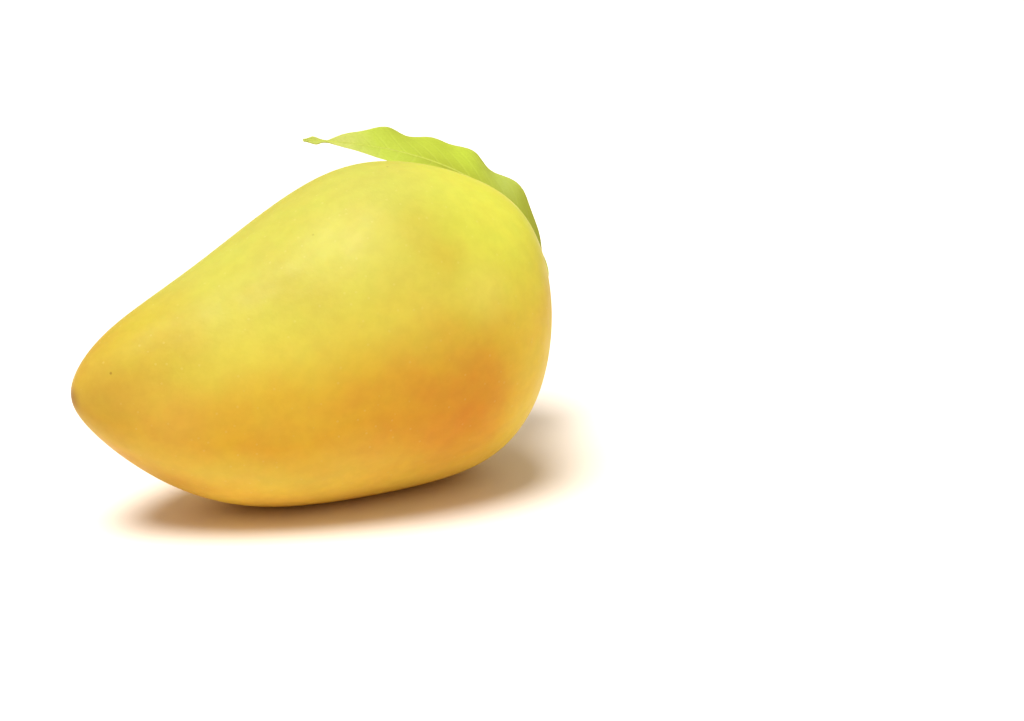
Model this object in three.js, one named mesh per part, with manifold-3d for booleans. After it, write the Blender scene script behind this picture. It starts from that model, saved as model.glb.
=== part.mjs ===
// A ripe yellow mango with one leaf still on its stalk, lying on a small flat spot.
// Millimetres, +Z up. +X runs along the fruit from its tip to its stem end,
// and the origin is the middle of the flat spot that it rests on.

import * as THREE from "three";
import { mergeVertices } from "three/addons/utils/BufferGeometryUtils.js";
import Module from "manifold-3d";

// Fruit: each list is a cosine series along the length, from the stem end to the tip
const FRUIT_LENGTH = 120;
const HALF_HEIGHT_TERMS = [40.6, 19.7, 3.3, 2.7, 0.9, 0.7];
const MIDLINE_TERMS = [0, 5.3, 1.5, -0.7, 1.4, 1.2];
const THICKNESS_SHARE = 0.87;
const DIMPLE_DEPTH = 2;
const DIMPLE_RADIUS = 8;
const FRUIT_RINGS = 40;
const FRUIT_SIDES = 48;

// Rest: the flat spot lies under the fruit's weight, a little towards the stem end
const FLAT_DEPTH = 0.8;
const FLAT_CENTRE_FROM_MIDDLE = 9;

// Stalk: a woody stub that stands in the dimple, given as radius and distance from its foot
const STEM_PROFILE = [[0, 0], [1.6, 0], [3, 1], [2.3, 2.4], [2.2, 4.6], [2.6, 5.6], [2.4, 6], [0, 6]];
const STEM_SIDES = 14;
const TOUCHING_GAP = 0.3;

// Leaf: the midrib is one Bezier curve from the foot of the blade, over the shoulder, to the tip
const MIDRIB = [[67.4, 23.1, 44.4], [55.8, 21.1, 70.9], [30.3, 32.1, 77.5], [2.9, 28.9, 82]];
const LEAF_WIDTH = 32.1;
const LEAF_THICKNESS = 0.5;
const BLADE_SHARE = 0.92;
const BLADE_SKEW = 0.78;
const BLADE_FULLNESS = 0.92;
const FOOT_HALF_WIDTH = 1;
const TIP_HALF_WIDTH = 0.4;
const FOLD_ANGLE = THREE.MathUtils.degToRad(7.4);
const FOOT_ROLL = THREE.MathUtils.degToRad(-45.7);
const MIDDLE_ROLL = THREE.MathUtils.degToRad(27.5);
const TIP_ROLL = THREE.MathUtils.degToRad(-46.1);
const LEAF_STEPS_ALONG = 48;
const LEAF_STEPS_ACROSS = 8;

// Small lobe at the end of the drip tip: its half width, and its middle and reach as shares of the midrib
const LOBE_HALF_WIDTH = 0.9;
const LOBE_MIDDLE = 0.962;
const LOBE_REACH = 0.02;

// Waves along each edge of the leaf: height, count over the midrib, and start as a share of one wave
const FAR_EDGE_WAVES = [[0.79, 3.56, 0.716], [0.67, 5.95, 0.095]];
const NEAR_EDGE_WAVES = [[1.42, 2.56, 0.052], [0.43, 5.95, 0.095]];

// Leaf stalk: a thin round stalk from the side of the stem into the foot of the blade
const PETIOLE_START = [53.2, 3.5, 46.8];
const PETIOLE_RADIUS = 0.9;
const PETIOLE_STEPS = 12;
const PETIOLE_SIDES = 8;
const PETIOLE_BEND = 9;
const PETIOLE_OVERLAP = 2;

// Materials
const skin = new THREE.MeshStandardMaterial({ color: "#ecc84c", roughness: 0.42, metalness: 0 });
const bark = new THREE.MeshStandardMaterial({ color: "#76603c", roughness: 0.85, metalness: 0 });
const foliage = new THREE.MeshStandardMaterial({ color: "#b4cc45", roughness: 0.5, metalness: 0 });

const wasm = await Module();
wasm.setup();

// Joins and cuts
function closedGeometry(geometry) {
  geometry.deleteAttribute("normal");
  geometry.deleteAttribute("uv");
  return mergeVertices(geometry);
}

function solidFrom(geometry) {
  const closed = closedGeometry(geometry);
  const vertProperties = new Float32Array(closed.attributes.position.array);
  const triVerts = new Uint32Array(closed.index.array);
  return new wasm.Manifold(new wasm.Mesh({ numProp: 3, vertProperties, triVerts }));
}

function geometryFrom(solid) {
  const mesh = solid.getMesh();
  const geometry = new THREE.BufferGeometry();
  geometry.setAttribute("position", new THREE.BufferAttribute(mesh.vertProperties, mesh.numProp));
  geometry.setIndex(new THREE.BufferAttribute(mesh.triVerts, 1));
  geometry.computeVertexNormals();
  return geometry;
}

// Fruit
function series(terms, angle) {
  return terms.reduce((sum, term, order) => sum + term * Math.cos(order * angle), 0);
}

function halfHeight(angle) {
  return Math.sin(angle) * series(HALF_HEIGHT_TERMS, angle);
}

function midlineHeight(angle) {
  return series(MIDLINE_TERMS, angle);
}

function lowestPoint() {
  const samples = 2000;
  let lowest = 0;
  for (let index = 0; index <= samples; index += 1) {
    const angle = (Math.PI * index) / samples;
    lowest = Math.min(lowest, midlineHeight(angle) - halfHeight(angle));
  }
  return lowest;
}

const MIDDLE_HEIGHT = -lowestPoint() - FLAT_DEPTH;

function fruitPoint(angle, sideways, upwards) {
  const radius = halfHeight(angle);
  const dimple = angle < Math.PI / 2 ? DIMPLE_DEPTH * Math.exp(-((radius / DIMPLE_RADIUS) ** 2)) : 0;
  return new THREE.Vector3(
    (FRUIT_LENGTH / 2) * Math.cos(angle) - dimple - FLAT_CENTRE_FROM_MIDDLE,
    THICKNESS_SHARE * radius * sideways,
    MIDDLE_HEIGHT + midlineHeight(angle) + radius * upwards,
  );
}

function fruitGeometry() {
  const ball = new THREE.SphereGeometry(1, FRUIT_SIDES, FRUIT_RINGS);
  const places = ball.attributes.position;
  for (let index = 0; index < places.count; index += 1) {
    const angle = Math.acos(THREE.MathUtils.clamp(places.getY(index), -1, 1));
    const around = Math.atan2(places.getZ(index), places.getX(index));
    const point = fruitPoint(angle, Math.sin(around), Math.cos(around));
    places.setXYZ(index, point.x, point.y, point.z);
  }
  const ground = new THREE.BoxGeometry(2 * FRUIT_LENGTH, 2 * FRUIT_LENGTH, FRUIT_LENGTH);
  ground.translate(0, 0, -FRUIT_LENGTH / 2);
  return geometryFrom(solidFrom(ball).subtract(solidFrom(ground)));
}

// Stalk
function stemGeometry() {
  const profile = STEM_PROFILE.map(([radius, along]) => new THREE.Vector2(radius, along));
  return closedGeometry(new THREE.LatheGeometry(profile, STEM_SIDES));
}

// Leaf
const midrib = new THREE.CubicBezierCurve3(...MIDRIB.map((point) => new THREE.Vector3(...point)));

function bladeHalfWidth(share) {
  const along = Math.min(share / BLADE_SHARE, 1);
  const bulge = Math.max(Math.sin(Math.PI * along ** BLADE_SKEW), 0);
  const blade = (LEAF_WIDTH / 2) * bulge ** BLADE_FULLNESS;
  const lobe = LOBE_HALF_WIDTH * Math.exp(-(((share - LOBE_MIDDLE) / LOBE_REACH) ** 2));
  const narrow = THREE.MathUtils.lerp(FOOT_HALF_WIDTH, TIP_HALF_WIDTH, share) + lobe;
  return Math.hypot(blade, narrow);
}

function edgeWave(share, side) {
  const waves = side < 0 ? FAR_EDGE_WAVES : NEAR_EDGE_WAVES;
  return waves.reduce((sum, [height, count, start]) => {
    return sum + height * Math.sin(2 * Math.PI * (count * share + start));
  }, 0);
}

function bladeRoll(share) {
  const rest = 1 - share;
  return FOOT_ROLL * rest ** 2 + 2 * MIDDLE_ROLL * rest * share + TIP_ROLL * share ** 2;
}

// A point of the blade: share runs from foot to tip, side from the far edge at -1 to the near edge at 1
function bladePoint(share, side, height) {
  const along = midrib.getTangent(share);
  const level = new THREE.Vector3(0, 0, 1).cross(along).normalize();
  const across = level.applyAxisAngle(along, bladeRoll(share));
  const upward = new THREE.Vector3().crossVectors(along, across);
  const halfWidth = bladeHalfWidth(share);
  const wave = (edgeWave(share, side) * side ** 2 * 2 * halfWidth) / LEAF_WIDTH;
  const lift = Math.abs(side) * halfWidth * Math.sin(FOLD_ANGLE) + wave;
  return midrib.getPoint(share)
    .addScaledVector(across, side * halfWidth * Math.cos(FOLD_ANGLE))
    .addScaledVector(upward, lift + height);
}

function bladeGeometry() {
  const slab = new THREE.BoxGeometry(2, LEAF_THICKNESS, 1, LEAF_STEPS_ACROSS, 1, LEAF_STEPS_ALONG);
  const places = slab.attributes.position;
  for (let index = 0; index < places.count; index += 1) {
    const point = bladePoint(places.getZ(index) + 0.5, places.getX(index), places.getY(index));
    places.setXYZ(index, point.x, point.y, point.z);
  }
  return slab;
}

function petioleGeometry() {
  const foot = midrib.getPoint(0);
  const direction = midrib.getTangent(0);
  const route = new THREE.QuadraticBezierCurve3(
    new THREE.Vector3(...PETIOLE_START),
    foot.clone().addScaledVector(direction, -PETIOLE_BEND),
    foot.clone().addScaledVector(direction, PETIOLE_OVERLAP),
  );
  const section = new THREE.Shape();
  section.absarc(0, 0, PETIOLE_RADIUS, 0, 2 * Math.PI);
  return new THREE.ExtrudeGeometry(section, {
    steps: PETIOLE_STEPS,
    curveSegments: PETIOLE_SIDES,
    bevelEnabled: false,
    extrudePath: route,
  });
}

function leafGeometry() {
  return geometryFrom(solidFrom(bladeGeometry()).add(solidFrom(petioleGeometry())));
}

// Assembly
function named(name, geometry, material) {
  const mesh = new THREE.Mesh(geometry, material);
  mesh.name = name;
  return mesh;
}

const stemFoot = fruitPoint(0, 0, 0);
const stem = named("stem", stemGeometry(), bark);
stem.rotation.z = -Math.PI / 2;
stem.position.set(stemFoot.x + TOUCHING_GAP, stemFoot.y, stemFoot.z);

const mango = new THREE.Group();
mango.add(named("mango_fruit", fruitGeometry(), skin));
mango.add(stem);
mango.add(named("leaf", leafGeometry(), foliage));

export default mango;
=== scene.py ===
"""A ripe yellow mango with one leaf on its stalk. Metres, +Z up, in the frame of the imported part."""

import math

import bpy
import numpy as np
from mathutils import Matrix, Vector, noise


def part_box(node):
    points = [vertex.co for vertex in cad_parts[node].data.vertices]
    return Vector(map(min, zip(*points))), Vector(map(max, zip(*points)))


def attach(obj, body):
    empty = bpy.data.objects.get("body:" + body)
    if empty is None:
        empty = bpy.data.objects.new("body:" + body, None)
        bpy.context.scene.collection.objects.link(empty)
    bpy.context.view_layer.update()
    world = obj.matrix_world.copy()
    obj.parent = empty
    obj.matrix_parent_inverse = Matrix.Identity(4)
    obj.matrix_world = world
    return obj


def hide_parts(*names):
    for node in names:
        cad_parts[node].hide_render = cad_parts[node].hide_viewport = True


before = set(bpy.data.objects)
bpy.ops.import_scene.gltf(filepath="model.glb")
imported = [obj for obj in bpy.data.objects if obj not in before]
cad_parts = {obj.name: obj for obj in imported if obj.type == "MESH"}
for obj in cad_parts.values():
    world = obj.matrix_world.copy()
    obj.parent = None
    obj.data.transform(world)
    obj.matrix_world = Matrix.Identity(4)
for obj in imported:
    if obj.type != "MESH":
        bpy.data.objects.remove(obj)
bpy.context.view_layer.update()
fruit_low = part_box("mango_fruit")[0]
stem_low, stem_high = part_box("stem")

# Fruit shape: each list is a cosine series along the length, from the stem end to the tip
FRUIT_LENGTH = 0.120
HALF_HEIGHT_TERMS = (0.0406, 0.0197, 0.0033, 0.0027, 0.0009, 0.0007)
MIDLINE_TERMS = (0.0, 0.0053, 0.0015, -0.0007, 0.0014, 0.0012)
THICKNESS_SHARE = 0.87
DIMPLE_DEPTH = 0.002
DIMPLE_RADIUS = 0.008
FLAT_DEPTH = 0.0008
HEIGHT_SAMPLES = 2001
FRUIT_RINGS = 180
FRUIT_SIDES = 224

# Natural unevenness of the fruit, and the smallest distance from its axis that is divided by
UNEVENNESS = 0.00025
UNEVEN_SIZE = 0.022
SMALLEST_REACH = 1e-6

# Shallow dents in the skin: middle, radius and depth
DENTS = (
    ((0.0135, -0.0285, 0.0644), 0.009, 0.00035),
    ((0.030, 0.026, 0.040), 0.012, 0.0004),
)

# Leaf shape: the midrib is one Bezier curve from the foot of the blade, over the shoulder, to the tip
MIDRIB = (
    (0.0674, 0.0231, 0.0444),
    (0.0558, 0.0211, 0.0709),
    (0.0303, 0.0321, 0.0775),
    (0.0029, 0.0289, 0.0820),
)
LEAF_WIDTH = 0.0321
LEAF_THICKNESS = 0.00035
EDGE_SHARPNESS = 6
BLADE_SHARE = 0.92
BLADE_SKEW = 0.78
BLADE_FULLNESS = 0.92
FOOT_HALF_WIDTH = 0.001
TIP_HALF_WIDTH = 0.0004
FOLD_ANGLE = math.radians(7.4)
FOOT_ROLL = math.radians(-45.7)
MIDDLE_ROLL = math.radians(27.5)
TIP_ROLL = math.radians(-46.1)

# Small lobe at the end of the drip tip: its half width, and its middle and reach as shares of the midrib
LOBE_HALF_WIDTH = 0.0009
LOBE_MIDDLE = 0.962
LOBE_REACH = 0.02

# Waves along each edge of the leaf: height, count over the midrib, and start as a share of one wave
FAR_EDGE_WAVES = ((0.00079, 3.56, 0.716), (0.00067, 5.95, 0.095))
NEAR_EDGE_WAVES = ((0.00142, 2.56, 0.052), (0.00043, 5.95, 0.095))

# Leaf mesh, and its side veins, which start by turns on the two sides and fade towards the edge
LEAF_STEPS_ALONG = 300
LEAF_STEPS_ACROSS = 80
VEIN_PAIRS = 15
VEIN_STAGGER = 0.5
VEIN_HALF_WIDTH = 0.0003
VEIN_RELIEF = 0.00010
VEIN_LEAN = 0.075
VEIN_CURVE = 0.05
VEIN_EDGE_LOSS = 0.65
LEAF_ATTRIBUTES = ("vein", "side", "share", "under")

# Leaf stalk, swollen at the stub, which runs on under the blade as its midrib
PETIOLE_START = (0.0530, 0.0012, 0.0466)
PETIOLE_BEND = 0.009
PETIOLE_RADIUS = 0.00095
PETIOLE_STEPS = 24
SWELLING = 0.7
SWELLING_REACH = 0.25
RIB_TIP_RADIUS = 0.00024
RIB_TAPER = 0.6
RIB_END = 0.985
RIB_STEPS = 120
RIB_SIDES = 14

# How far the midrib lies under the blade, in its own radii, and the share of its length where it gets there
RIB_SINK = 0.15
RIB_SINK_END = 0.125

# A direction that no swept path follows
SWEEP_REFERENCE = (0.3, -0.2, 1.0)

# Woody stub: radius and share of its length from the fruit outwards
STEM_PROFILE = (
    (0.0, -0.12), (0.0026, -0.12), (0.0031, 0.12), (0.0025, 0.36), (0.0022, 0.60),
    (0.0023, 0.78), (0.0027, 0.91), (0.0025, 1.0), (0.0, 0.98),
)
STEM_RINGS = 90
STEM_SIDES = 40
LUMP_HEIGHT = 0.09
LUMPS_ALONG = 6
LUMPS_AROUND = 1.7
RIDGE_HEIGHT = 0.04
RIDGE_COUNT = 9

# Camera: the photograph's viewing angle and framing, measured from the fruit's middle
CAMERA_AZIMUTH = math.radians(-28)
CAMERA_ELEVATION = math.radians(18)
CAMERA_DISTANCE = 0.58555
CAMERA_RIGHT = 0.04885
CAMERA_UP = -0.00291
CAMERA_LENS = 85.0
CAMERA_CLIP_START = 0.01


# Meshes
def mesh_object(name, points, faces, material):
    """A smooth-shaded mesh piece made of points and faces."""
    mesh = bpy.data.meshes.new(name)
    mesh.from_pydata([tuple(point) for point in points], [], faces)
    mesh.polygons.foreach_set("use_smooth", [True] * len(mesh.polygons))
    mesh.materials.append(material)
    mesh.update()
    piece = bpy.data.objects.new(name, mesh)
    bpy.context.scene.collection.objects.link(piece)
    return piece


def ring_faces(rings, sides):
    """Faces of a closed tube of rings, whose first and last points are single poles."""
    faces = []
    for ring in range(rings - 1):
        first = 1 + ring * sides
        for side in range(sides):
            after = (side + 1) % sides
            faces.append((first + side, first + after, first + sides + after, first + sides + side))
    last = 1 + (rings - 1) * sides
    end = 1 + rings * sides
    for side in range(sides):
        after = (side + 1) % sides
        faces.append((0, 1 + after, 1 + side))
        faces.append((end, last + side, last + after))
    return faces


def grid_face(numbers, row, column):
    """The point numbers around one cell of a grid."""
    corners = ((row, column), (row, column + 1), (row + 1, column + 1), (row + 1, column))
    return tuple(int(numbers[corner]) for corner in corners)


# Fruit
def series(terms, angle):
    return sum(term * np.cos(order * angle) for order, term in enumerate(terms))


def half_height(angle):
    return np.sin(angle) * series(HALF_HEIGHT_TERMS, angle)


def height_of_middle():
    """Height of the fruit's long axis, once the flat spot is cut off its lowest point."""
    angles = np.linspace(0, math.pi, HEIGHT_SAMPLES)
    return -float(np.min(series(MIDLINE_TERMS, angles) - half_height(angles))) - FLAT_DEPTH


MIDDLE_HEIGHT = height_of_middle()
MIDDLE_X = fruit_low.x + FRUIT_LENGTH / 2
FRUIT_MIDDLE = Vector((MIDDLE_X, 0, MIDDLE_HEIGHT))


def fruit_points():
    """Rings of points from the stem end to the tip, with a pole at each end."""
    angles = np.linspace(0, math.pi, FRUIT_RINGS + 2)[:, None]
    around = np.linspace(0, 2 * math.pi, FRUIT_SIDES, endpoint=False)[None, :]
    radius = half_height(angles)
    dimple = np.where(angles < math.pi / 2, DIMPLE_DEPTH * np.exp(-((radius / DIMPLE_RADIUS) ** 2)), 0)
    along = MIDDLE_X + FRUIT_LENGTH / 2 * np.cos(angles) - dimple
    level = MIDDLE_HEIGHT + series(MIDLINE_TERMS, angles)
    across = THICKNESS_SHARE * radius * np.sin(around)
    height = level + radius * np.cos(around)
    grid = np.stack(np.broadcast_arrays(along, across, height), axis=-1)
    return np.concatenate([grid[0, :1], grid[1:-1].reshape(-1, 3), grid[-1, :1]])


def soften(points):
    """Natural unevenness and shallow dents, along lines from the fruit's long axis, kept above the floor."""
    axis = points.copy()
    axis[:, 1:] = (0, MIDDLE_HEIGHT)
    outward = points - axis
    reach = np.maximum(np.linalg.norm(outward, axis=1), SMALLEST_REACH)
    push = np.array([noise.noise(Vector(point) / UNEVEN_SIZE) for point in points]) * UNEVENNESS
    for middle, radius, depth in DENTS:
        gap = np.linalg.norm(points - np.array(middle), axis=1)
        push -= depth * np.exp(-((gap / radius) ** 2))
    fade = np.clip(reach / DIMPLE_RADIUS, 0, 1)
    moved = points + outward / reach[:, None] * (push * fade)[:, None]
    moved[:, 2] = np.maximum(moved[:, 2], 0)
    return moved


def make_fruit(material):
    points = soften(fruit_points())
    return mesh_object("mango_skin", points, ring_faces(FRUIT_RINGS, FRUIT_SIDES), material)


# Leaf
def bezier(points, share):
    start, first, second, end = (np.array(point) for point in points)
    share = np.asarray(share)[..., None]
    rest = 1 - share
    return rest**3 * start + 3 * rest**2 * share * first + 3 * rest * share**2 * second + share**3 * end


def bezier_direction(points, share):
    start, first, second, end = (np.array(point) for point in points)
    share = np.asarray(share)[..., None]
    rest = 1 - share
    slope = rest**2 * (first - start) + 2 * rest * share * (second - first) + share**2 * (end - second)
    return slope / np.linalg.norm(slope, axis=-1, keepdims=True)


def blade_half_width(share):
    along = np.minimum(share / BLADE_SHARE, 1)
    bulge = np.maximum(np.sin(math.pi * along**BLADE_SKEW), 0)
    blade = LEAF_WIDTH / 2 * bulge**BLADE_FULLNESS
    lobe = LOBE_HALF_WIDTH * np.exp(-(((share - LOBE_MIDDLE) / LOBE_REACH) ** 2))
    narrow = FOOT_HALF_WIDTH + (TIP_HALF_WIDTH - FOOT_HALF_WIDTH) * share + lobe
    return np.hypot(blade, narrow)


def blade_roll(share):
    rest = 1 - share
    return FOOT_ROLL * rest**2 + 2 * MIDDLE_ROLL * rest * share + TIP_ROLL * share**2


def edge_wave(share, waves):
    return sum(height * np.sin(2 * math.pi * (count * share + start)) for height, count, start in waves)


def blade_frame(share):
    """Directions across the blade towards its near edge, and up from its face."""
    along = bezier_direction(MIDRIB, share)
    level = np.cross((0, 0, 1), along)
    level /= np.linalg.norm(level, axis=-1, keepdims=True)
    rise = np.cross(along, level)
    roll = np.asarray(blade_roll(share))[..., None]
    across = level * np.cos(roll) + rise * np.sin(roll)
    return across, np.cross(along, across)


def vein_strength(share, side):
    """How much of a side vein lies at a point of the blade, from 0 to 1."""
    spread = np.abs(side) * blade_half_width(share) / (LEAF_WIDTH / 2)
    start = share - VEIN_LEAN * spread - VEIN_CURVE * spread**2
    place = start * VEIN_PAIRS / BLADE_SHARE + np.where(side < 0, VEIN_STAGGER, 0.0)
    blade_length = np.linalg.norm(np.array(MIDRIB[-1]) - np.array(MIDRIB[0]))
    gap = np.abs(place - np.round(place)) * blade_length * BLADE_SHARE / VEIN_PAIRS
    return np.exp(-((gap / VEIN_HALF_WIDTH) ** 2)) * (1 - VEIN_EDGE_LOSS * np.abs(side))


def blade_points(share, side, height):
    """Points of the blade: share runs from foot to tip, side from -1 at the far edge to 1 at the near one."""
    across, upward = blade_frame(share)
    half_width = blade_half_width(share)
    wave = np.where(side < 0, edge_wave(share, FAR_EDGE_WAVES), edge_wave(share, NEAR_EDGE_WAVES))
    lift = np.abs(side) * half_width * math.sin(FOLD_ANGLE) + wave * side**2 * 2 * half_width / LEAF_WIDTH
    sideways = side * half_width * math.cos(FOLD_ANGLE)
    return bezier(MIDRIB, share) + across * sideways[..., None] + upward * (lift + height)[..., None]


def blade_faces(upper, lower):
    """Faces of the blade from the grids of its upper and lower point numbers, with a cap at each end."""
    faces = []
    for row in range(LEAF_STEPS_ALONG):
        for column in range(LEAF_STEPS_ACROSS):
            faces.append(grid_face(upper, row, column)[::-1])
            faces.append(grid_face(lower, row, column))
    foot = [*upper[0], *lower[0, -2:0:-1]]
    tip = [*upper[-1], *lower[-1, -2:0:-1]]
    faces.append(tuple(int(number) for number in foot))
    faces.append(tuple(int(number) for number in reversed(tip)))
    return faces


def make_blade(material):
    """A thin closed blade: an upper and a lower face that share their edges."""
    share, side = np.meshgrid(
        np.linspace(0, 1, LEAF_STEPS_ALONG + 1), np.linspace(-1, 1, LEAF_STEPS_ACROSS + 1), indexing="ij"
    )
    vein = vein_strength(share, side)
    thin_edge = np.sqrt(np.clip(1 - np.abs(side) ** EDGE_SHARPNESS, 0, 1)) * LEAF_THICKNESS / 2
    above = blade_points(share, side, thin_edge - VEIN_RELIEF * vein)
    below = blade_points(share, side, -thin_edge - VEIN_RELIEF * vein)
    upper = np.arange(share.size).reshape(share.shape)
    lower = upper + share.size
    lower[:, 0] = upper[:, 0]
    lower[:, -1] = upper[:, -1]
    faces = blade_faces(upper, lower)

    # The lower grid's own edge points are in no face, so they are left out
    points = np.concatenate([above.reshape(-1, 3), below.reshape(-1, 3)])
    used = np.zeros(len(points), bool)
    for face in faces:
        used[list(face)] = True
    fresh = np.cumsum(used) - 1
    faces = [tuple(int(fresh[number]) for number in face) for face in faces]
    blade = mesh_object("leaf_blade", points[used], faces, material)

    # What the material needs to know at each point
    upper_face = np.zeros(share.shape)
    lower_face = np.ones(share.shape)
    pairs = ((vein, vein), (side, side), (share, share), (upper_face, lower_face))
    for name, (value_above, value_below) in zip(LEAF_ATTRIBUTES, pairs):
        values = np.concatenate([value_above.ravel(), value_below.ravel()])[used]
        attribute = blade.data.attributes.new(name, "FLOAT", "POINT")
        attribute.data.foreach_set("value", values.astype(np.float32))
    return blade


def sweep(path, radii, sides):
    """Points of a round tube along a path, with a pole at each end."""
    path = np.asarray(path)
    along = np.gradient(path, axis=0)
    along /= np.linalg.norm(along, axis=1, keepdims=True)
    aside = np.cross(along, SWEEP_REFERENCE)
    aside /= np.linalg.norm(aside, axis=1, keepdims=True)
    upward = np.cross(along, aside)
    around = np.linspace(0, 2 * math.pi, sides, endpoint=False)
    ring = aside[:, None] * np.cos(around)[None, :, None] + upward[:, None] * np.sin(around)[None, :, None]
    body = path[:, None] + ring * np.asarray(radii)[:, None, None]
    return np.concatenate([path[:1], body.reshape(-1, 3), path[-1:]])


def make_midrib(material):
    """The leaf stalk from the woody stub into the blade, thinning out as the midrib to the tip."""
    foot = bezier(MIDRIB, 0.0)
    heading = bezier_direction(MIDRIB, 0.0)
    start = np.array(PETIOLE_START)
    bend = foot - heading * PETIOLE_BEND
    steps = np.linspace(0, 1, PETIOLE_STEPS, endpoint=False)[:, None]
    stalk = (1 - steps) ** 2 * start + 2 * (1 - steps) * steps * bend + steps**2 * foot
    swelling = 1 + SWELLING * np.exp(-((steps[:, 0] / SWELLING_REACH) ** 2))
    share = np.linspace(0, RIB_END, RIB_STEPS)
    rib_radius = PETIOLE_RADIUS + (RIB_TIP_RADIUS - PETIOLE_RADIUS) * share**RIB_TAPER
    _, upward = blade_frame(share)
    sink = RIB_SINK * rib_radius * np.minimum(share / RIB_SINK_END, 1)
    rib = bezier(MIDRIB, share) - upward * sink[:, None]
    radii = np.concatenate([PETIOLE_RADIUS * swelling, rib_radius])
    points = sweep(np.concatenate([stalk, rib]), radii, RIB_SIDES)
    return mesh_object("leaf_midrib", points, ring_faces(len(radii), RIB_SIDES), material)


# Woody stub
def make_stem(material):
    """The stub's profile turned around its axis, with lumps and ridges in the bark."""
    knots = np.array(STEM_PROFILE)
    spots = np.linspace(0, len(knots) - 1, STEM_RINGS)
    radii = np.interp(spots, range(len(knots)), knots[:, 0])
    shares = np.interp(spots, range(len(knots)), knots[:, 1])
    middle = (stem_low + stem_high) / 2
    points = []
    for radius, share in zip(radii, shares):
        along = stem_low.x + (stem_high.x - stem_low.x) * share
        for angle in np.linspace(0, 2 * math.pi, STEM_SIDES, endpoint=False):
            sine = math.sin(angle)
            cosine = math.cos(angle)
            lump = noise.noise(Vector((share * LUMPS_ALONG, cosine * LUMPS_AROUND, sine * LUMPS_AROUND)))
            reach = radius * (1 + LUMP_HEIGHT * lump + RIDGE_HEIGHT * math.cos(RIDGE_COUNT * angle))
            points.append((along, middle.y - reach * sine, middle.z + reach * cosine))
    closed = [points[0], *points[STEM_SIDES:-STEM_SIDES], points[-1]]
    return mesh_object("stem_stub", closed, ring_faces(STEM_RINGS - 2, STEM_SIDES), material)


# Shader nodes
# Numbers of the mix node's sockets for mixing colours
MIX_FACTOR = 0
MIX_FIRST = 6
MIX_SECOND = 7
MIX_RESULT = 2


def add(tree, kind, inputs=None, **settings):
    """A new node with its settings; each input is given a value, or a link from another node's socket."""
    made = tree.nodes.new(kind)
    for name, value in settings.items():
        setattr(made, name, value)
    for name, value in (inputs or {}).items():
        socket = made.inputs[name]
        if isinstance(value, bpy.types.NodeSocket):
            tree.links.new(value, socket)
        else:
            socket.default_value = value
    return made


def calculate(tree, operation, first, second=0.0):
    return add(tree, "ShaderNodeMath", {0: first, 1: second}, operation=operation).outputs[0]


def remap(tree, value, ends, results=(0.0, 1.0)):
    """A smooth step from the first result to the second, as the value goes from one end to the other."""
    inputs = {
        "Value": value,
        "From Min": ends[0],
        "From Max": ends[1],
        "To Min": results[0],
        "To Max": results[1],
    }
    return add(tree, "ShaderNodeMapRange", inputs, interpolation_type="SMOOTHSTEP").outputs[0]


def overlap(tree, first, first_ends, second, second_ends):
    """A mask of the place where both values have gone through their ranges."""
    return calculate(tree, "MULTIPLY", remap(tree, first, first_ends), remap(tree, second, second_ends))


def blend(tree, factor, first, second):
    inputs = {MIX_FACTOR: factor, MIX_FIRST: first, MIX_SECOND: second}
    return add(tree, "ShaderNodeMix", inputs, data_type="RGBA").outputs[MIX_RESULT]


def clouds(tree, place, size, detail, roughness=0.5):
    inputs = {"Vector": place, "Scale": 1 / size, "Detail": detail, "Roughness": roughness}
    return add(tree, "ShaderNodeTexNoise", inputs).outputs[0]


def cells(tree, place, size):
    """Distance from the middle of the nearest of many scattered cells, in cell sizes."""
    return add(tree, "ShaderNodeTexVoronoi", {"Vector": place, "Scale": 1 / size}).outputs["Distance"]


def distance_to(tree, place, point):
    return add(tree, "ShaderNodeVectorMath", {0: place, 1: point}, operation="DISTANCE").outputs["Value"]


def bumpy(tree, height, strength, distance):
    inputs = {"Strength": strength, "Distance": distance, "Height": height}
    return add(tree, "ShaderNodeBump", inputs).outputs[0]


def ramp(tree, value, stops):
    """A colour scale through stops, which are pairs of a value and a colour, from the lowest value up."""
    low = stops[0][0]
    high = stops[-1][0]
    share = add(tree, "ShaderNodeMapRange", {"Value": value, "From Min": low, "From Max": high}).outputs[0]
    made = add(tree, "ShaderNodeValToRGB", {0: share})
    scale = made.color_ramp
    while len(scale.elements) < len(stops):
        scale.elements.new(0.5)
    for element, (place, shade) in zip(scale.elements, stops):
        element.position = (place - low) / (high - low)
        element.color = shade
    return made.outputs[0]


def colour(code):
    """Linear colour, with full alpha, of an sRGB code such as e8d44a."""
    parts = [int(code[at:at + 2], 16) / 255 for at in (0, 2, 4)]
    linear = [part / 12.92 if part <= 0.04045 else ((part + 0.055) / 1.055) ** 2.4 for part in parts]
    return (*linear, 1.0)


def new_material(name):
    material = bpy.data.materials.new(name)
    material.use_nodes = True
    material.node_tree.nodes.clear()
    return material, material.node_tree


def object_place(tree):
    return add(tree, "ShaderNodeTexCoord").outputs["Object"]


def show(tree, surface):
    add(tree, "ShaderNodeOutputMaterial", {"Surface": surface.outputs[0]})


# Skin
# Colours by how far the surface faces up, from the underside at -1 to the crown at 1: partly the skin's own
# lemon above and orange below, partly painted light, with the underside painted brighter for bounce light and
# the crown darker
SKIN_AND_SHADING_STOPS = (
    (-0.85, colour("e6be4a")),
    (-0.52, colour("cbb044")),
    (-0.22, colour("caa02c")),
    (0.02, colour("c9a733")),
    (0.30, colour("c3b445")),
    (0.50, colour("bab146")),
    (0.72, colour("b0a93f")),
    (0.92, colour("afad4a")),
)
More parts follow.
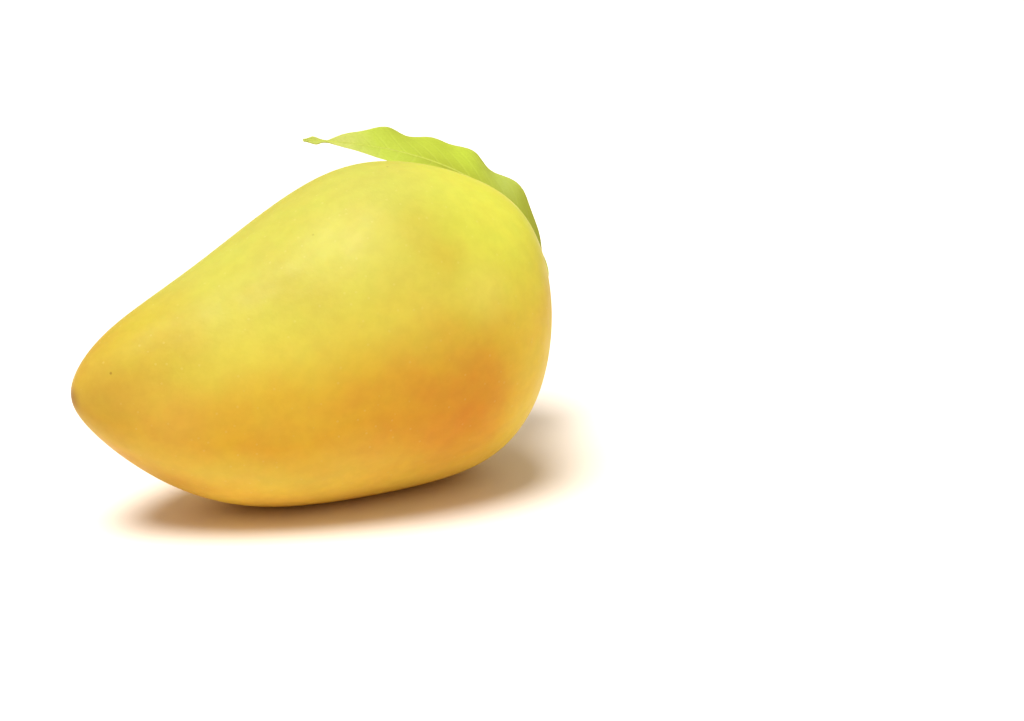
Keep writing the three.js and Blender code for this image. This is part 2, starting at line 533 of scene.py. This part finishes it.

# Each pair below runs from where a tint starts to where it is full: by distance from the tip, by place
# along the fruit, or by how far the surface faces up. The belly counts as further from the tip.
# The tip's own ochre, partly painted shade darkening the tip
TIP_OCHRE_AND_SHADE = colour("b18e33")
TIP_FADE = (0.046, 0.004)
TIP_STRENGTH = 0.9
TIP_DROP = 0.003
TIP_BELLY_FACING = (0.3, -0.2)
TIP_BELLY_GAP = 0.012
# Painted shade: a darker gold on the underside towards the tip
UNDER_TIP_SHADE_GOLD = colour("c0963a")
UNDER_TIP_SHADE_ALONG = (-0.032, -0.052)
UNDER_TIP_SHADE_FACING = (-0.45, -0.75)
SCAR_BROWN = colour("8a5f2a")
SCAR_FADE = (0.004, 0.0005)
SCAR_STRENGTH = 0.7
SHOULDER_LEMON = colour("c4c546")
SHOULDER_ALONG = (0.004, 0.036)
SHOULDER_FACING = (-0.10, 0.60)
# Painted bounce light: a brighter gold on the lower part of the stem end
END_BOUNCE_GOLD = colour("d6be40")
END_BOUNCE_ALONG = (0.018, 0.042)
END_BOUNCE_FACING = (0.60, -0.10)

# Orange on the flank, partly a natural flush and partly painted shade and painted orange bounce light, drawn
# out along the fruit by squeezing distances in that direction
FLUSH_AND_SHADE_ORANGE = colour("c4801f")
FLUSH_AND_SHADE_MIDDLE = (0.0220, -0.0320, 0.0265)
FLUSH_AND_SHADE_REACH = 0.028
FLUSH_AND_SHADE_SQUEEZE = (0.55, 0.9, 0.95)
FLUSH_AND_SHADE_STRENGTH = 0.85

# Soft spots on the skin: tints, painted highlights and painted bounce light. Each has a middle, reach,
# strength at the middle, and colour
TINT_AND_LIGHT_SPOTS = (
    # painted highlight on the upper front
    ((-0.0065, -0.0210, 0.0680), 0.018, 0.6, colour("bbb854")),
    # darker olive-gold over the first dent
    (DENTS[0][0], DENTS[0][1], 0.6, colour("b8a83a")),
    # painted highlight on the front towards the stem end
    ((0.0228, -0.0315, 0.0559), 0.011, 0.6, colour("cec255")),
    # deeper yellow high up towards the tip
    ((-0.0520, -0.0076, 0.0504), 0.020, 0.4, colour("b29e1c")),
    # painted bounce light, brighter low on the flank towards the tip
    ((-0.0516, -0.0169, 0.0294), 0.016, 0.6, colour("cba541")),
)

# Blotches that move the borders between the colours, and mottling of hue, shade and gloss
CLOUD_MIDDLE = 0.5
CLOUD_ENDS = (0.3, 0.7)
BLOTCH_SIZE = 0.03
BLOTCH_SPREAD = 0.35
HUE_SIZE = 0.009
HUE_ENDS = (0.495, 0.505)
SHADE_SIZE = 0.0035
SHADE_ENDS = (0.968, 1.032)
GLOSS_SIZE = 0.006
ROUGHNESS_ENDS = (0.40, 0.52)

# Pale dots, dark specks and pebbles: spacing, edge and core in cell sizes, and strength
DOT_PALE = colour("d8cf86")
DOT_SPACING = 0.0026
DOT_ENDS = (0.16, 0.06)
DOT_STRENGTH = 0.12
DOT_HEIGHT = 0.35
SPECK_BROWN = colour("6f4a1e")
SPECK_SPACING = 0.012
SPECK_ENDS = (0.036, 0.015)
SPECK_STRENGTH = 0.55
PEBBLE_SIZE = 0.0011


def skin_tints(tree, place, turned):
    """Lemon above, gold and orange towards the belly and the tip, partly painted light and shade, with soft
    spots, some of them painted highlights and painted bounce light.
    """
    along = add(tree, "ShaderNodeSeparateXYZ", {0: place}).outputs["X"]
    # Colour by facing up, partly painted light: brighter underside, darker crown
    base = ramp(tree, turned, SKIN_AND_SHADING_STOPS)
    tip = distance_to(tree, place, (fruit_low.x, 0.0, MIDDLE_HEIGHT - TIP_DROP))
    tip_gap = calculate(tree, "ADD", tip, remap(tree, turned, TIP_BELLY_FACING, (0.0, TIP_BELLY_GAP)))
    # Ochre at the tip, partly painted shade
    base = blend(tree, remap(tree, tip_gap, TIP_FADE, (0.0, TIP_STRENGTH)), base, TIP_OCHRE_AND_SHADE)
    # Painted shade on the underside towards the tip
    under_tip_shade = overlap(tree, along, UNDER_TIP_SHADE_ALONG, turned, UNDER_TIP_SHADE_FACING)
    base = blend(tree, under_tip_shade, base, UNDER_TIP_SHADE_GOLD)
    base = blend(tree, remap(tree, tip, SCAR_FADE, (0.0, SCAR_STRENGTH)), base, SCAR_BROWN)
    # Orange on the flank: partly flush, partly painted shade and painted bounce light
    squeezed = add(tree, "ShaderNodeVectorMath", {0: place, 1: FLUSH_AND_SHADE_SQUEEZE}, operation="MULTIPLY")
    flush_and_shade_middle = [part * share for part, share in zip(FLUSH_AND_SHADE_MIDDLE, FLUSH_AND_SHADE_SQUEEZE)]
    flush_and_shade_gap = distance_to(tree, squeezed.outputs[0], flush_and_shade_middle)
    base = blend(tree, remap(tree, flush_and_shade_gap, (FLUSH_AND_SHADE_REACH, 0.0), (0.0, FLUSH_AND_SHADE_STRENGTH)), base, FLUSH_AND_SHADE_ORANGE)
    base = blend(tree, overlap(tree, along, SHOULDER_ALONG, turned, SHOULDER_FACING), base, SHOULDER_LEMON)
    # Painted bounce light on the lower part of the stem end
    base = blend(tree, overlap(tree, along, END_BOUNCE_ALONG, turned, END_BOUNCE_FACING), base, END_BOUNCE_GOLD)
    # Tints, painted highlights and painted bounce light
    for middle, reach, strength, shade in TINT_AND_LIGHT_SPOTS:
        spot = remap(tree, distance_to(tree, place, middle), (reach, 0.0), (0.0, strength))
        base = blend(tree, spot, base, shade)
    return base


def skin_material():
    """A satin skin, mottled and faintly pebbled, with pale dots and a few dark specks."""
    material, tree = new_material("mango_skin")
    place = object_place(tree)
    normal = add(tree, "ShaderNodeNewGeometry").outputs["Normal"]
    facing_up = add(tree, "ShaderNodeSeparateXYZ", {0: normal}).outputs["Z"]
    blotches = calculate(tree, "SUBTRACT", clouds(tree, place, BLOTCH_SIZE, detail=3.0), CLOUD_MIDDLE)
    turned = calculate(tree, "ADD", facing_up, calculate(tree, "MULTIPLY", blotches, BLOTCH_SPREAD))
    hues = clouds(tree, place, HUE_SIZE, detail=3.0)
    shades = clouds(tree, place, SHADE_SIZE, detail=4.0, roughness=0.6)
    base = add(tree, "ShaderNodeHueSaturation", {
        "Color": skin_tints(tree, place, turned),
        "Hue": remap(tree, hues, CLOUD_ENDS, HUE_ENDS),
        "Value": remap(tree, shades, CLOUD_ENDS, SHADE_ENDS),
    }).outputs[0]
    dots = remap(tree, cells(tree, place, DOT_SPACING), DOT_ENDS)
    base = blend(tree, calculate(tree, "MULTIPLY", dots, DOT_STRENGTH), base, DOT_PALE)
    specks = remap(tree, cells(tree, place, SPECK_SPACING), SPECK_ENDS)
    base = blend(tree, calculate(tree, "MULTIPLY", specks, SPECK_STRENGTH), base, SPECK_BROWN)
    pebbles = clouds(tree, place, PEBBLE_SIZE, detail=2.0)
    height = calculate(tree, "ADD", calculate(tree, "MULTIPLY", dots, DOT_HEIGHT), pebbles)
    gloss = clouds(tree, place, GLOSS_SIZE, detail=3.0)
    show(tree, add(tree, "ShaderNodeBsdfPrincipled", {
        "Base Color": base,
        "Roughness": remap(tree, gloss, CLOUD_ENDS, ROUGHNESS_ENDS),
        "Normal": bumpy(tree, height, strength=0.10, distance=0.0004),
        "Specular IOR Level": 0.12,
        "Subsurface Weight": 0.1,
        "Subsurface Radius": (0.004, 0.002, 0.0006),
        "Subsurface Scale": 1.0,
    }))
    return material


# Leaf blade
# Colours along the midrib, from the dull foot to the pale tip: partly the leaf's own colour, and towards the
# foot partly painted shade where the blade lies by the fruit
LEAF_AND_SHADE_STOPS = (
    (0.0, colour("a6b03a")),
    (0.12, colour("b0b93e")),
    (0.24, colour("b9c65e")),
    (0.40, colour("c3d448")),
    (0.56, colour("c0ce48")),
    (0.74, colour("c3d252")),
    (0.86, colour("d0d576")),
    (1.0, colour("c8d46a")),
)

# Painted shade on the near half towards the foot, and tints of patches, veins, edges and the underside
LEAF_NEAR_SHADE = colour("b4bd40")
NEAR_SHADE_SIDE = (-0.6, 0.2)
NEAR_SHADE_SHARE = (0.66, 0.48)
LEAF_DEEP = colour("a9bb36")
PATCH_SIZE = 0.010
PATCH_ENDS = (0.45, 0.75)
PATCH_STRENGTH = 0.35
FINE_SIZE = 0.0008
FINE_ENDS = (0.35, 0.7)
FINE_STRENGTH = 0.2
LEAF_VEIN = colour("d3dc74")
VEIN_STRENGTH = 0.16
LEAF_EDGE = colour("ccd65c")
EDGE_ENDS = (0.9, 1.0)
EDGE_STRENGTH = 0.4
LEAF_UNDER = colour("b9c772")
UNDER_STRENGTH = 0.5
LIGHT_THROUGH = 0.35


def leaf_material():
    """A satin leaf with patches, fine grain and veins, which lets some light through."""
    material, tree = new_material("leaf_blade")
    place = object_place(tree)
    vein, side, share, under = (
        add(tree, "ShaderNodeAttribute", attribute_name=name).outputs["Fac"] for name in LEAF_ATTRIBUTES
    )
    # Leaf colour along the midrib, darker towards the foot as partly painted shade
    base = ramp(tree, share, LEAF_AND_SHADE_STOPS)
    # Painted shade on the near half of the blade towards the foot
    base = blend(tree, overlap(tree, side, NEAR_SHADE_SIDE, share, NEAR_SHADE_SHARE), base, LEAF_NEAR_SHADE)
    patches = clouds(tree, place, PATCH_SIZE, detail=3.0)
    base = blend(tree, remap(tree, patches, PATCH_ENDS, (0.0, PATCH_STRENGTH)), base, LEAF_DEEP)
    fine = clouds(tree, place, FINE_SIZE, detail=3.0)
    base = blend(tree, remap(tree, fine, FINE_ENDS, (0.0, FINE_STRENGTH)), base, LEAF_DEEP)
    base = blend(tree, calculate(tree, "MULTIPLY", vein, VEIN_STRENGTH), base, LEAF_VEIN)
    from_midrib = calculate(tree, "ABSOLUTE", side)
    base = blend(tree, remap(tree, from_midrib, EDGE_ENDS, (0.0, EDGE_STRENGTH)), base, LEAF_EDGE)
    base = blend(tree, calculate(tree, "MULTIPLY", under, UNDER_STRENGTH), base, LEAF_UNDER)
    shader = add(tree, "ShaderNodeBsdfPrincipled", {
        "Base Color": base,
        "Roughness": 0.5,
        "Normal": bumpy(tree, fine, strength=0.15, distance=0.0003),
        "Specular IOR Level": 0.12,
    })
    through = add(tree, "ShaderNodeBsdfTranslucent", {"Color": base})
    both = {0: LIGHT_THROUGH, 1: shader.outputs[0], 2: through.outputs[0]}
    show(tree, add(tree, "ShaderNodeMixShader", both))
    return material


# Leaf stalk and midrib: olive by the stub and in streaks, green further out
RIB_GREEN = colour("b8c448")
RIB_OLIVE = colour("8f8a3c")
RIB_FADE = (0.002, 0.012)
STREAK_SIZE = 0.0012
STREAK_ENDS = (0.4, 0.7)
STREAK_STRENGTH = 0.3


def midrib_material():
    material, tree = new_material("leaf_midrib")
    place = object_place(tree)
    from_stub = distance_to(tree, place, PETIOLE_START)
    base = blend(tree, remap(tree, from_stub, RIB_FADE), RIB_OLIVE, RIB_GREEN)
    streaks = clouds(tree, place, STREAK_SIZE, detail=3.0)
    base = blend(tree, remap(tree, streaks, STREAK_ENDS, (0.0, STREAK_STRENGTH)), base, RIB_OLIVE)
    show(tree, add(tree, "ShaderNodeBsdfPrincipled", {
        "Base Color": base,
        "Roughness": 0.5,
        "Normal": bumpy(tree, streaks, strength=0.2, distance=0.0002),
    }))
    return material


# Bark of the stub, with grain along it, and paler wood on the cut end
BARK_DARK = colour("4d3a22")
BARK_LIGHT = colour("8a6f45")
GRAIN_SIZE = 0.0009
GRAIN_STRETCH = (0.35, 1.0, 1.0)
GRAIN_ENDS = (0.35, 0.65)
CUT_WOOD = colour("b89a68")
CUT_DEPTHS = (0.0006, 0.0002)
CUT_STRENGTH = 0.7


def bark_material():
    material, tree = new_material("stem_bark")
    place = object_place(tree)
    stretched = add(tree, "ShaderNodeMapping", {"Vector": place, "Scale": GRAIN_STRETCH}).outputs[0]
    grain = clouds(tree, stretched, GRAIN_SIZE, detail=5.0, roughness=0.65)
    base = blend(tree, remap(tree, grain, GRAIN_ENDS), BARK_DARK, BARK_LIGHT)
    along = add(tree, "ShaderNodeSeparateXYZ", {0: place}).outputs["X"]
    cut_ends = [stem_high.x - depth for depth in CUT_DEPTHS]
    base = blend(tree, remap(tree, along, cut_ends, (0.0, CUT_STRENGTH)), base, CUT_WOOD)
    show(tree, add(tree, "ShaderNodeBsdfPrincipled", {
        "Base Color": base,
        "Roughness": 0.85,
        "Normal": bumpy(tree, grain, strength=0.7, distance=0.0004),
    }))
    return material


# Stage
FLOOR_SIZE = 8.0
FLOOR_DROP = 0.00005
FLOOR_PALE = (0.90, 0.83, 0.74, 1.0)
SKY_LOW = (0.42, 0.16, 0.01, 1.0)
SKY_HIGH = (0.52, 0.50, 0.48, 1.0)
SKY_RISE = (0.0, 0.8)
BACKDROP_WHITE = (1.0, 1.0, 1.0, 1.0)
KEY_AZIMUTH = math.radians(-74)
KEY_ELEVATION = math.radians(75)
KEY_SPREAD = math.radians(36)
KEY_POWER = 4.6


def make_floor():
    half = FLOOR_SIZE / 2
    corners = [(x, y, -FLOOR_DROP) for x, y in ((-half, -half), (half, -half), (half, half), (-half, half))]
    material, tree = new_material("floor_pale")
    show(tree, add(tree, "ShaderNodeBsdfDiffuse", {"Color": FLOOR_PALE}))
    mesh_object("floor", corners, [(0, 1, 2, 3)], material)


def direction_from(azimuth, elevation):
    """The direction towards a viewpoint: azimuth 0 lies at -Y, and elevation is above the horizon."""
    level = math.cos(elevation)
    return Vector((math.sin(azimuth) * level, -math.cos(azimuth) * level, math.sin(elevation)))


def make_light():
    """A broad key light high on the tip's side, under a sky that is warm and dim at the horizon."""
    world = bpy.data.worlds.new("studio")
    world.use_nodes = True
    tree = world.node_tree
    direction = add(tree, "ShaderNodeTexCoord").outputs["Generated"]
    rise = add(tree, "ShaderNodeSeparateXYZ", {0: direction}).outputs["Z"]
    sky = blend(tree, remap(tree, rise, SKY_RISE), SKY_LOW, SKY_HIGH)
    seen = add(tree, "ShaderNodeLightPath").outputs["Is Camera Ray"]
    tree.links.new(blend(tree, seen, sky, BACKDROP_WHITE), tree.nodes["Background"].inputs["Color"])
    bpy.context.scene.world = world
    key = bpy.data.lights.new("key", "SUN")
    key.energy = KEY_POWER
    key.angle = KEY_SPREAD
    lamp = bpy.data.objects.new("key", key)
    lamp.rotation_euler = direction_from(KEY_AZIMUTH, KEY_ELEVATION).to_track_quat("Z", "Y").to_euler()
    bpy.context.scene.collection.objects.link(lamp)


def make_camera():
    back = direction_from(CAMERA_AZIMUTH, CAMERA_ELEVATION)
    right = Vector((math.cos(CAMERA_AZIMUTH), math.sin(CAMERA_AZIMUTH), 0))
    upward = back.cross(right)
    data = bpy.data.cameras.new("camera")
    data.lens = CAMERA_LENS
    data.clip_start = CAMERA_CLIP_START
    camera = bpy.data.objects.new("camera", data)
    camera.location = FRUIT_MIDDLE + right * CAMERA_RIGHT + upward * CAMERA_UP + back * CAMERA_DISTANCE
    camera.rotation_euler = (-back).to_track_quat("-Z", "Y").to_euler()
    bpy.context.scene.collection.objects.link(camera)
    bpy.context.scene.camera = camera


# Assembly
make_floor()
make_light()
make_camera()
bpy.context.scene.view_settings.view_transform = "Standard"

fruit = make_fruit(skin_material())
stub = make_stem(bark_material())
blade = make_blade(leaf_material())
midrib = make_midrib(midrib_material())
for piece, node, slot in (
    (fruit, "mango_fruit", "skin"),
    (stub, "stem", "stalk"),
    (blade, "leaf", "leaf"),
    (midrib, "leaf", "leaf"),
):
    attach(piece, "root")
    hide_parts(node)
